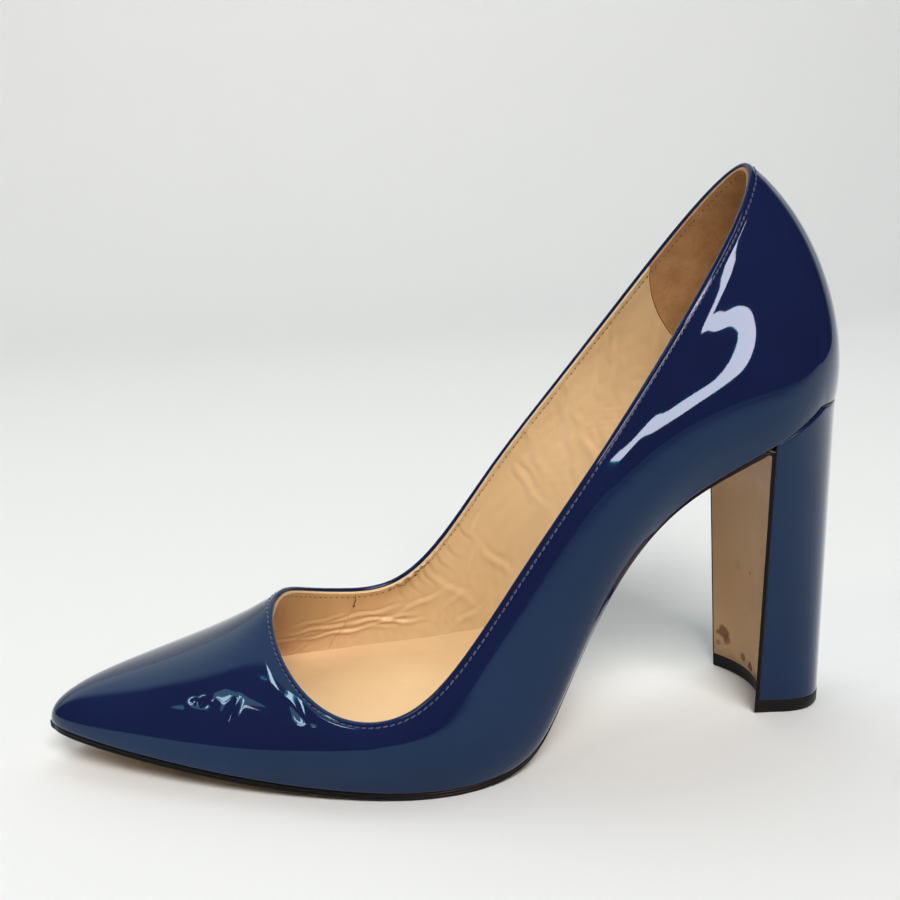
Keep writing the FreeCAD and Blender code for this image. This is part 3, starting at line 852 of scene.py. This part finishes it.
def tube(line, radius, sides=6):
    """Points and faces of a thread along a line of points."""
    line = np.asarray(line, float)
    along = unit(np.gradient(line, axis=0))
    side = unit(np.cross(along, np.array([0.31, -0.9, 0.3])))
    other = np.cross(along, side)
    turn = np.linspace(0, 2 * math.pi, sides, endpoint=False)
    thin = np.minimum(1, 0.35 + np.minimum(np.arange(len(line)), np.arange(len(line))[::-1]) / 3.0)
    ring = np.cos(turn)[None, :, None] * side[:, None] + np.sin(turn)[None, :, None] * other[:, None]
    points = (line[:, None] + ring * radius * thin[:, None, None]).reshape(-1, 3)
    faces = list(grid_faces(len(line), sides, False, True))
    last = len(points) - sides
    return points, faces + [tuple(range(sides))[::-1], tuple(range(last, last + sides))]


def inside_point(t, down, lift):
    """Point on the lining's visible face this far below the topline, lifted off it into the shoe."""
    h = heights(np.array([t]), lambda total: np.array([total - down]))[0]
    depth = float(layer_room(h[0])) + GLUE + LINING + lift
    return inset(t, h[0], depth)


# loose thread ends on the inner side: the seam's tail with its knot, then short ends from the topstitching;
# each point is station, distance below the topline and lift off the lining
THREAD_ENDS = [
    [(15.25, 0.8, 0.1), (15.24, 2.2, 0.15), (15.27, 3.6, 0.15), (15.25, 5.0, 0.2), (15.26, 6.2, 0.15)],
    [(15.23, 6.0, 0.25), (15.28, 6.3, 0.4), (15.26, 6.7, 0.3), (15.24, 6.4, 0.2), (15.26, 7.4, 0.15)],
    [(16.05, 0.6, 0.1), (16.1, 1.8, 0.5), (16.2, 2.4, 0.7), (16.32, 2.0, 0.4)],
    [(16.2, 0.4, 0.1), (16.3, 1.2, 0.8), (16.45, 1.0, 1.0)],
    [(16.42, 0.5, 0.1), (16.5, -0.6, 0.7), (16.62, -1.0, 0.9)],
    [(15.95, 0.5, 0.1), (15.9, 1.5, 0.4), (15.98, 2.2, 0.3)],
]


def build_threads():
    threads = []
    for ends in THREAD_ENDS:
        line = smoothed([inside_point(*end) for end in ends], 8 * len(ends), 4)
        threads.append(tube(line, 0.11))
    add_piece("loose_threads", *joined(threads), "thread", DARK_THREAD_AND_HOLE_SHADE, crease=80)


# ---- outlines of the outsole and the heel

SOLE_CORE = (42.0, 196.0)  # the sole's edge is drawn in towards the line between these x


def drawn_in(t):
    """Plan point of the outsole's edge at a station; along the arch it hides further under the shoe."""
    here = spline(RINGS[0], t)[..., :2]
    inwards = stacked(np.clip(here[..., 0], *SOLE_CORE), 0.0) - here
    draw = 0.3 + 1.6 * smoothstep(45.0, 0.0, np.abs(here[..., 0] - 160.0))
    return here + unit(inwards) * draw[..., None]


def heel_top_point(s):
    """Seat edge: s from -1 at the outer breast corner through 0 at the back to 1 at the inner one."""
    here = spline(RINGS[0], -np.asarray(s, float) * TOP_CORNER)
    here[..., 2] = feather_height(here[..., 0])
    return here


def heel_drawn(s, z, draw):
    """Heel section at one height: straight lines from seat to base, drawn inwards by draw."""
    def raw(value):
        top = heel_top_point(value)
        base = np.concatenate([spline(HEEL_BASE, 6 + 5 * value), np.full(value.shape + (1,), LIFT)], axis=-1)
        k = (z - base[..., 2]) / (top[..., 2] - base[..., 2])
        return base + (top - base) * k[..., None]

    here = raw(s)
    e = 0.02
    along = raw(np.minimum(s + e, 1)) - raw(np.maximum(s - e, -1))
    side = unit(stacked(-along[..., 1], along[..., 0], 0.0))
    facing = ((here - HEEL_CENTRE) * side)[..., :2].sum(axis=-1)
    here = here - side * (np.sign(facing) * draw)[..., None]
    here[..., 2] = z
    return here


def heel_section(share, z, draw):
    """The same section with its points spaced by length."""
    knots = np.linspace(-1, 1, HEEL_STEPS + 1)
    run = run_along(heel_drawn(knots, z, draw))
    return heel_drawn(np.interp(share, run / run[-1], knots), z, draw)


def heel_point(s, z, draw=0.0):
    """Point on the heel wall at height z, s running as in heel_top_point."""
    s, z = np.broadcast_arrays(np.asarray(s, float), np.asarray(z, float))
    low = heel_section((s + 1) / 2, HEEL_LOW, draw)
    high = heel_section((s + 1) / 2, HEEL_HIGH, draw)
    return low + (high - low) * ((z - HEEL_LOW) / (HEEL_HIGH - HEEL_LOW))[..., None]


def seat_height(s, draw=0.0):
    """Where the heel wall meets the underside of the shoe."""
    z = np.full(np.shape(s), BREAST_TOP)
    for _ in range(12):
        z = feather_height(heel_point(s, z, draw)[..., 0])
    return z


def breast_point(m, z, shift=0.0):
    """Point across the dished breast, m from 0 at the outer corner to 1 at the inner corner."""
    m, z = np.broadcast_arrays(np.asarray(m, float), np.asarray(z, float))
    left, right = heel_point(np.full(m.shape, -1.0), z), heel_point(np.full(m.shape, 1.0), z)
    k = (z - LIFT) / (BREAST_TOP - LIFT)
    hollow = HOLLOW_BASE + (HOLLOW_TOP - HOLLOW_BASE) * k
    here = left + (right - left) * m[..., None]
    here[..., 0] += hollow * 4 * m * (1 - m) + shift
    return here


# ---- outsole and breast flap

SKIVE = 0.45  # how much the sole is thinned towards the breast
FLAP_TOP = 84.0  # a height just above the whole of the flap's top corner
FLAP_BEND = 1.8  # how far from the corner the sole starts to bend down into the flap
FLAP_SWELL = 2.5  # how much thicker the flap grows towards its top, away from its sides
# two thin layers show in the sole's black edge
SOLE_EDGE = ((0.06, 0.12), (0.2, 0.2), (0.42, 0.2), (0.5, 0.08), (0.58, 0.2), (0.82, 0.2), (0.95, 0.1))


def sole_room(x):
    """Thickness of the outsole, skived thin towards the breast."""
    return SOLE - SKIVE * smoothstep(145.0, 185.0, x)


def build_outsole():
    m = np.concatenate([[0, 0.01], np.linspace(0.025, 0.975, 45), [0.99, 1]])
    columns = len(m)
    share = np.linspace(0, 1, 170)
    away = 0.25 + (TIP - TOP_CORNER - 0.25) * share
    x, y = between_sides(drawn_in(TIP - away), drawn_in(TIP + away), m, TOE_BULGE * (1 - share) ** 10)
    x += HOLLOW_TOP * (share[:, None] ** 10) * 4 * m * (1 - m)
    under = stacked(x, y, feather_height(x) - sole_room(x))

    # the flap carries on from the sole's last rows, round a bend and down the breast
    z_flap = np.linspace(LIFT, FLAP_TOP, 200)
    under_rows, over_rows = [], []
    for j in range(columns):
        front = breast_point(m[j], z_flap, -FLAP)
        front[:, 0] -= FLAP_SWELL * smoothstep(60.0, 73.0, z_flap) * min(1.0, 5 * m[j] * (1 - m[j]))
        back = breast_point(m[j], z_flap, -0.02)
        gap = z_flap - (feather_height(front[:, 0]) - sole_room(front[:, 0]))
        top = front[np.argmax(gap > 0)]
        path = under[under[:, j, 0] < top[0] - FLAP_BEND * 0.8, j]
        low = read_line(top[2] - FLAP_BEND, z_flap, front)
        u = np.linspace(0, 1, 10)[1:-1, None]
        curve = (1 - u) ** 2 * path[-1] + 2 * u * (1 - u) * top + u ** 2 * low
        line = np.concatenate([path, curve, read_line(np.linspace(low[2], LIFT, 70), z_flap, front)])
        run = run_along(line)
        marks = np.linspace(0, run[-1], 300)
        line = read_line(marks, run, line)
        above = line.copy()
        above[:, 2] = feather_height(line[:, 0]) - 0.02
        turn = smoothstep(0.0, FLAP_BEND * 1.4, marks - run[len(path) - 1])
        under_rows.append(line)
        over_rows.append(above + (read_line(line[:, 2], z_flap, back) - above) * turn[:, None])
    face = np.stack(under_rows, axis=1)
    points, faces = sheet_solid(face, np.stack(over_rows, axis=1), SOLE_EDGE)
    piece = add_piece("outsole_leather", points, faces, "sole_leather", SOLE_TAN, ["outsole"])

    # black paint on the edge and on the rim of both faces, all but the row at the foot of the flap
    paint = np.ones(len(faces), np.int32)
    rows = face.shape[0] - 1
    paint[:2 * rows * (columns - 1)].reshape(2, rows, columns - 1)[:, 1:, 1:-1] = 0
    piece.data.materials.append(EDGE)
    piece.data.polygons.foreach_set("material_index", paint)


# ---- heel

def build_heel_cover():
    s = np.linspace(-1, 1, 141)[None, :]
    v = np.concatenate([[0, 0.004, 0.01], np.linspace(0.02, 0.98, 60), [0.99, 1.0]])[:, None]
    top = seat_height(s, 0.3) - 0.1
    z = LIFT + 0.05 + (top - LIFT - 0.05) * v
    add_sheet("heel_cover_patent", heel_point(s, z, 0.05), heel_point(s, z, COVER), "patent_leather", PATENT,
              ["heel_cover"], ((0.1, 0.1), (0.3, 0.2), (0.6, 0.24), (0.9, 0.12)))


LIFT_WEAR = 0.7  # how much of the lift is worn away at the very back


def build_top_lift():
    """Rubber lift: dished front, rounded edges, worn down at the back."""
    s = np.linspace(-1, 1, 121)
    m = np.linspace(1, 0, 41)[1:-1]
    levels = [(0.0, 0.35), (0.12, 0.12), (0.35, 0.0)]
    levels += [(LIFT - 0.35, 0.0), (LIFT - 0.12, 0.08), (LIFT - 0.02, 0.3)]
    loops = []
    for z, draw in levels:
        curved = heel_point(s, z, draw)
        curved[:, 0] -= smoothstep(0.86, 1.0, np.abs(s)) * (FLAP - draw)
        loops.append(np.concatenate([curved, breast_point(m, z, -FLAP + draw)]))
    loops = np.array(loops)
    middle = loops[0].mean(axis=0)

    def worn(x):
        return LIFT_WEAR * smoothstep(212, 228, x)

    loops[..., 2] += worn(loops[..., 0]) * (1 - loops[..., 2] / LIFT)
    count = loops.shape[1]
    faces = list(grid_faces(len(levels), count, False, True))
    points = loops.reshape(-1, 3)
    for level, height in ((0, 0.0), (len(levels) - 1, LIFT - 0.02)):
        rings = [middle + (loops[level] - middle) * k for k in (0.75, 0.45, 0.15)]
        for ring in rings:
            ring[:, 2] = height + (0 if level else worn(ring[:, 0]))
        start = len(points)
        points = np.concatenate([points] + rings + [[[middle[0], middle[1], height]]])
        lines = [np.arange(count) + level * count] + [start + k * count + np.arange(count) for k in range(3)]
        for first, second in zip(lines, lines[1:]):
            quads = bridge(first, second)
            faces += list(quads if level else quads[:, ::-1])
        tip = start + 3 * count
        for a, b in zip(lines[-1], np.roll(lines[-1], -1)):
            faces.append((a, tip, b) if level else (b, tip, a))
    add_piece("top_lift_rubber", points, faces, "lift_rubber", RUBBER, ["top_lift"])


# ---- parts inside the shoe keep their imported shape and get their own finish

def finish_hidden_parts():
    board = plain_finish("board_brown", (0.42, 0.33, 0.22), (0.30, 0.23, 0.15), 700, 0.85, depth=0.08)
    cloth = plain_finish("backing_white", (0.70, 0.67, 0.60), (0.52, 0.50, 0.44), 2400, 0.9, depth=0.1)
    cork = plain_finish("cork_filler", (0.50, 0.34, 0.19), (0.24, 0.14, 0.07), 520, 0.9, depth=0.2)
    steel = plain_finish("steel_satin", (0.62, 0.63, 0.65), (0.5, 0.51, 0.53), 900, 0.3,
                         metallic=1.0, depth=0.01, stretch=(1, 12, 12))
    plastic = plain_finish("heel_plastic", (0.74, 0.72, 0.66), (0.66, 0.64, 0.58), 160, 0.5, depth=0.03)
    for material, names in (
        (board, ("heel_counter", "toe_puff", "insole_board")),
        (cloth, ("outer_backing", "inner_backing", "topline_tape")),
        (steel, ("shank", "shank_rivets", "heel_screw", "heel_nails", "lift_pins")),
        (cork, ("bottom_filler",)), (plastic, ("heel_core",)), (PATENT, ("lasted_margin",)),
    ):
        for name in names:
            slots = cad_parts[name].data.materials
            slots.clear()
            slots.append(material)


# ---- floor, backdrop, lights and camera

def stage_mesh(name, points, faces, material, unseen=()):
    """Part of the studio; unseen lists the kinds of light path that pass it by."""
    piece = mesh_object(name, points, faces, material)
    for kind in unseen:
        setattr(piece, "visible_" + kind, False)


def bare_finish(name, glow=0.0, colour=(1, 1, 1)):
    """Plain black that may glow."""
    finish = Finish(name)
    finish.surface(Base_Color=(0, 0, 0, 1), Specular_IOR_Level=0.0,
                   Emission_Strength=glow, Emission_Color=(*colour, 1))
    return finish.material


def ribbon(count):
    """Faces of a strip whose points come in pairs."""
    return [(2 * k, 2 * k + 1, 2 * k + 3, 2 * k + 2) for k in range(count - 1)]


def studio():
    """A pale sweep: flat floor that curves up a little way behind the shoe."""
    finish = Finish("sweep_pale")
    near = finish.coordinate(finish.place, 1)
    colour = finish.blend(finish.spread(near, -1.0, -0.32), (0.22, 0.225, 0.23), (0.71, 0.71, 0.705))
    colour = finish.blend(finish.spread(near, 0.7, 1.6), colour, (0.93, 0.94, 0.94))
    finish.surface(Base_Color=colour, Roughness=0.6, Specular_IOR_Level=0.0)
    half, reach, radius, rise = 2.6, 1.7, 0.9, 1.05
    line = [(-3.0, 0.0), (reach - radius, 0.0)]
    for k in range(1, 17):
        a = math.pi / 2 * k / 16
        line.append((reach - radius + radius * math.sin(a), radius - radius * math.cos(a)))
    line.append((reach, rise))
    points = [(x, y, z) for y, z in line for x in (-half, half)]
    stage_mesh("sweep", points, ribbon(len(line)), finish.material)


def surround(radius=4.5, rings=24, sides=48):
    """Pale ball round the whole studio, seen by the eye past the sweep's edges and lighting nothing."""
    up = np.linspace(-math.pi / 2, math.pi / 2, rings)[:, None]
    turn = np.linspace(0, 2 * math.pi, sides, endpoint=False)
    ball = stacked(np.cos(up) * np.cos(turn), np.cos(up) * np.sin(turn), np.sin(up))
    pale = bare_finish("surround_pale", 0.62, (0.98, 1.0, 1.0))
    stage_mesh("surround", (ball * radius).reshape(-1, 3), grid_faces(rings, sides, wrap_columns=True), pale,
               ("diffuse", "glossy", "transmission", "shadow"))


def direction(azimuth, elevation):
    """Azimuth 0 is behind the shoe along +Y, 90 is past the heel along +X."""
    a, e = math.radians(azimuth), math.radians(elevation)
    return Vector((math.sin(a) * math.cos(e), math.cos(a) * math.cos(e), math.sin(e)))


def softbox(name, azimuth, elevation, distance, width, height, power, colour, mirrored, turn):
    """Area light aimed at the shoe; an unmirrored one lights surfaces without showing in their shine."""
    low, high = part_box("upper")
    away = direction(azimuth, elevation)
    light = bpy.data.lights.new(name, "AREA")
    light.shape = "RECTANGLE"
    light.size = width
    light.size_y = height
    light.energy = power
    light.color = colour
    lamp = bpy.data.objects.new(name, light)
    lamp.location = (low + high) / 2 + away * distance
    lamp.rotation_mode = "QUATERNION"
    lamp.rotation_quaternion = away.to_track_quat("Z", "Y") @ Quaternion((0, 0, 1), math.radians(turn))
    lamp.visible_glossy = mirrored
    bpy.context.scene.collection.objects.link(lamp)


# the window that the lacquer mirrors, a winding band: azimuth, elevation and width in degrees
WINDOW = [
    (147, 51.5, 1.4), (156, 50, 2.2), (165, 46, 3.2), (170.5, 39, 4.6), (172, 31.8, 4.6), (165.5, 29.8, 3.8),
    (159, 29.3, 4.6), (153, 25.5, 6.5), (152, 20, 8.5), (155.5, 15.3, 7.5), (162.5, 11, 4.5), (170, 9.3, 6),
    (176, 9.3, 4.6), (181, 9.8, 4.4), (186.5, 12.2, 1.2),
]
WINDOW_DISTANCE = 1.5
WINDOW_GLOW = 38.0


def window():
    """Glowing winding band that stands in front of the shoe's outer side."""
    low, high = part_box("heel_cover")
    centre = Vector(((low.x + high.x) / 2 - 0.015, low.y, high.z + 0.02))
    band = smoothed(WINDOW, 140, 14)
    middles = [centre + direction(azimuth, elevation) * WINDOW_DISTANCE for azimuth, elevation, _ in band]
    points = []
    for k, (azimuth, elevation, width) in enumerate(band):
        ahead = middles[min(k + 1, len(middles) - 1)] - middles[max(k - 1, 0)]
        across = ahead.cross(direction(azimuth, elevation)).normalized()
        half = WINDOW_DISTANCE * math.radians(width) / 2
        points += [middles[k] + across * half, middles[k] - across * half]
    glow = bare_finish("window_glow", WINDOW_GLOW, (1.0, 0.51, 0.47))
    stage_mesh("window", points, ribbon(len(band)), glow, ("camera", "diffuse"))


# the card's reach along the shoe from the toe tip, its gap to the shoe's outer side, and its heights
FLAG_X, FLAG_GAP, FLAG_Z = (0.086, 0.137), 0.105, (0.036, 0.115)


def flag():
    """Black card beside the ball; it keeps the window's lower end out of the lacquer there."""
    low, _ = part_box("upper")
    corners = [(low.x + x, low.y - FLAG_GAP, z) for x in FLAG_X for z in FLAG_Z]
    stage_mesh("flag", corners, ribbon(2), bare_finish("flag_black"), ("camera", "diffuse", "shadow"))


ROOM_FADE = (0.33, 0.62)  # how far a direction turns towards the wall for it to fade in
ROOM_BRIGHT, ROOM_DARK = 1.02, 0.010


def room():
    """Dark room with a pale wall behind the shoe that fades out to both sides, and a faint glow overhead."""
    world = bpy.data.worlds.new("room")
    bpy.context.scene.world = world
    world.use_nodes = True
    nodes = Nodes(world.node_tree)
    towards = nodes.node("TexCoord").outputs["Generated"]
    y, z = nodes.coordinate(towards, 1), nodes.coordinate(towards, 2)
    level = nodes.math("POWER", nodes.math("SUBTRACT", 1.0001, nodes.times(z, z)), 0.5)
    above = nodes.math("MAXIMUM", nodes.math("SUBTRACT", z, 0.8), 0.0)
    reach = nodes.math("MULTIPLY_ADD", above, 2.0, nodes.math("DIVIDE", y, level))
    glow = nodes.spread(reach, *ROOM_FADE, 0.0, ROOM_BRIGHT, interpolation_type="SMOOTHSTEP")
    background = world.node_tree.nodes["Background"].inputs
    background["Color"].default_value = (0.86, 0.97, 1.0, 1)
    nodes.put(background["Strength"], nodes.math("ADD", glow, ROOM_DARK))


# name, azimuth and elevation in degrees, distance, width and height in metres, watts, colour, whether the
# lacquer mirrors it, turn about its own line in degrees
LAMPS = [
    ("overhead", -12, 66, 1.3, 0.9, 0.7, 3, (0.98, 1.0, 0.98), False, 0),
    ("front_fill", 174, 48, 3.0, 1.6, 1.2, 105, (1.0, 1.0, 0.985), False, 0),
    ("ceiling_lamp", -118, 51, 1.9, 0.05, 0.40, 1.3, (1.0, 0.78, 0.68), True, 8),
    ("ceiling_glow", -117, 51, 1.95, 0.22, 0.62, 0.9, (0.85, 0.97, 1.0), True, 8),
    ("door_gap", -121, 49, 1.5, 0.034, 0.26, 0.62, (1.0, 0.60, 0.56), True, -6),
    ("ceiling_strip", -97, 76.5, 1.6, 0.045, 0.22, 0.8, (1.0, 0.78, 0.68), True, 34),
]


# camera's place in metres, how far it turns to the right, looks down and leans over in degrees, its lens
EYE, TURNS, LENS = (-0.04341, -0.31583, 0.16906), (8.05, 14.95, -1.59), 48


def camera():
    """In front of the outer side, a little ahead of the ball, turned towards the heel and slightly down."""
    yaw, pitch, roll = (math.radians(v) for v in TURNS)
    ahead = Vector((math.sin(yaw) * math.cos(pitch), math.cos(yaw) * math.cos(pitch), -math.sin(pitch)))
    level = ahead.cross(Vector((0, 0, 1))).normalized()
    up = level.cross(ahead)
    right = level * math.cos(roll) + up * math.sin(roll)
    top = up * math.cos(roll) - level * math.sin(roll)
    data = bpy.data.cameras.new("camera")
    data.lens = LENS
    data.sensor_width = 36
    data.clip_start = 0.01
    eye = bpy.data.objects.new("camera", data)
    eye.matrix_world = Matrix.Translation(EYE) @ Matrix((right, top, -ahead)).transposed().to_4x4()
    bpy.context.scene.collection.objects.link(eye)
    bpy.context.scene.camera = eye


build_upper()
for part, start, end, columns, leans in (
    ("vamp_lining", VAMP_OUTER, VAMP_INNER, 330, (0, 0)),
    ("outer_lining", GRIP, VAMP_OUTER, 200, (1, 0)),
    ("inner_lining", VAMP_INNER, ROUND - GRIP, 330, (0, -1)),
):
    build_lining(part, start + 0.004, end - 0.004, columns, "lining_leather", TAN, *leans)
build_lining("heel_grip", -GRIP + 0.004, GRIP - 0.004, 120, "suede", SUEDE, -1, 1, False)
build_sock()
build_stitches("topline_stitches", STITCH_DOWN, 0.0, NAVY_THREAD, 1.45, 0.22, 0.1, ["topline_thread"])
# small dark bars on the lining's stitch row: painted shade of the needle holes
build_stitches("lining_needle_hole_shade", STITCH_DOWN + 0.3, UPPER + TOP_LAYER + GLUE + LINING - 0.02, DARK_THREAD_AND_HOLE_SHADE,
               0.55, 0.16)
build_threads()
build_outsole()
build_heel_cover()
build_top_lift()
finish_hidden_parts()
studio()
surround()
window()
flag()
room()
for lamp_row in LAMPS:
    softbox(*lamp_row)
camera()
bpy.context.scene.view_settings.view_transform = "Standard"
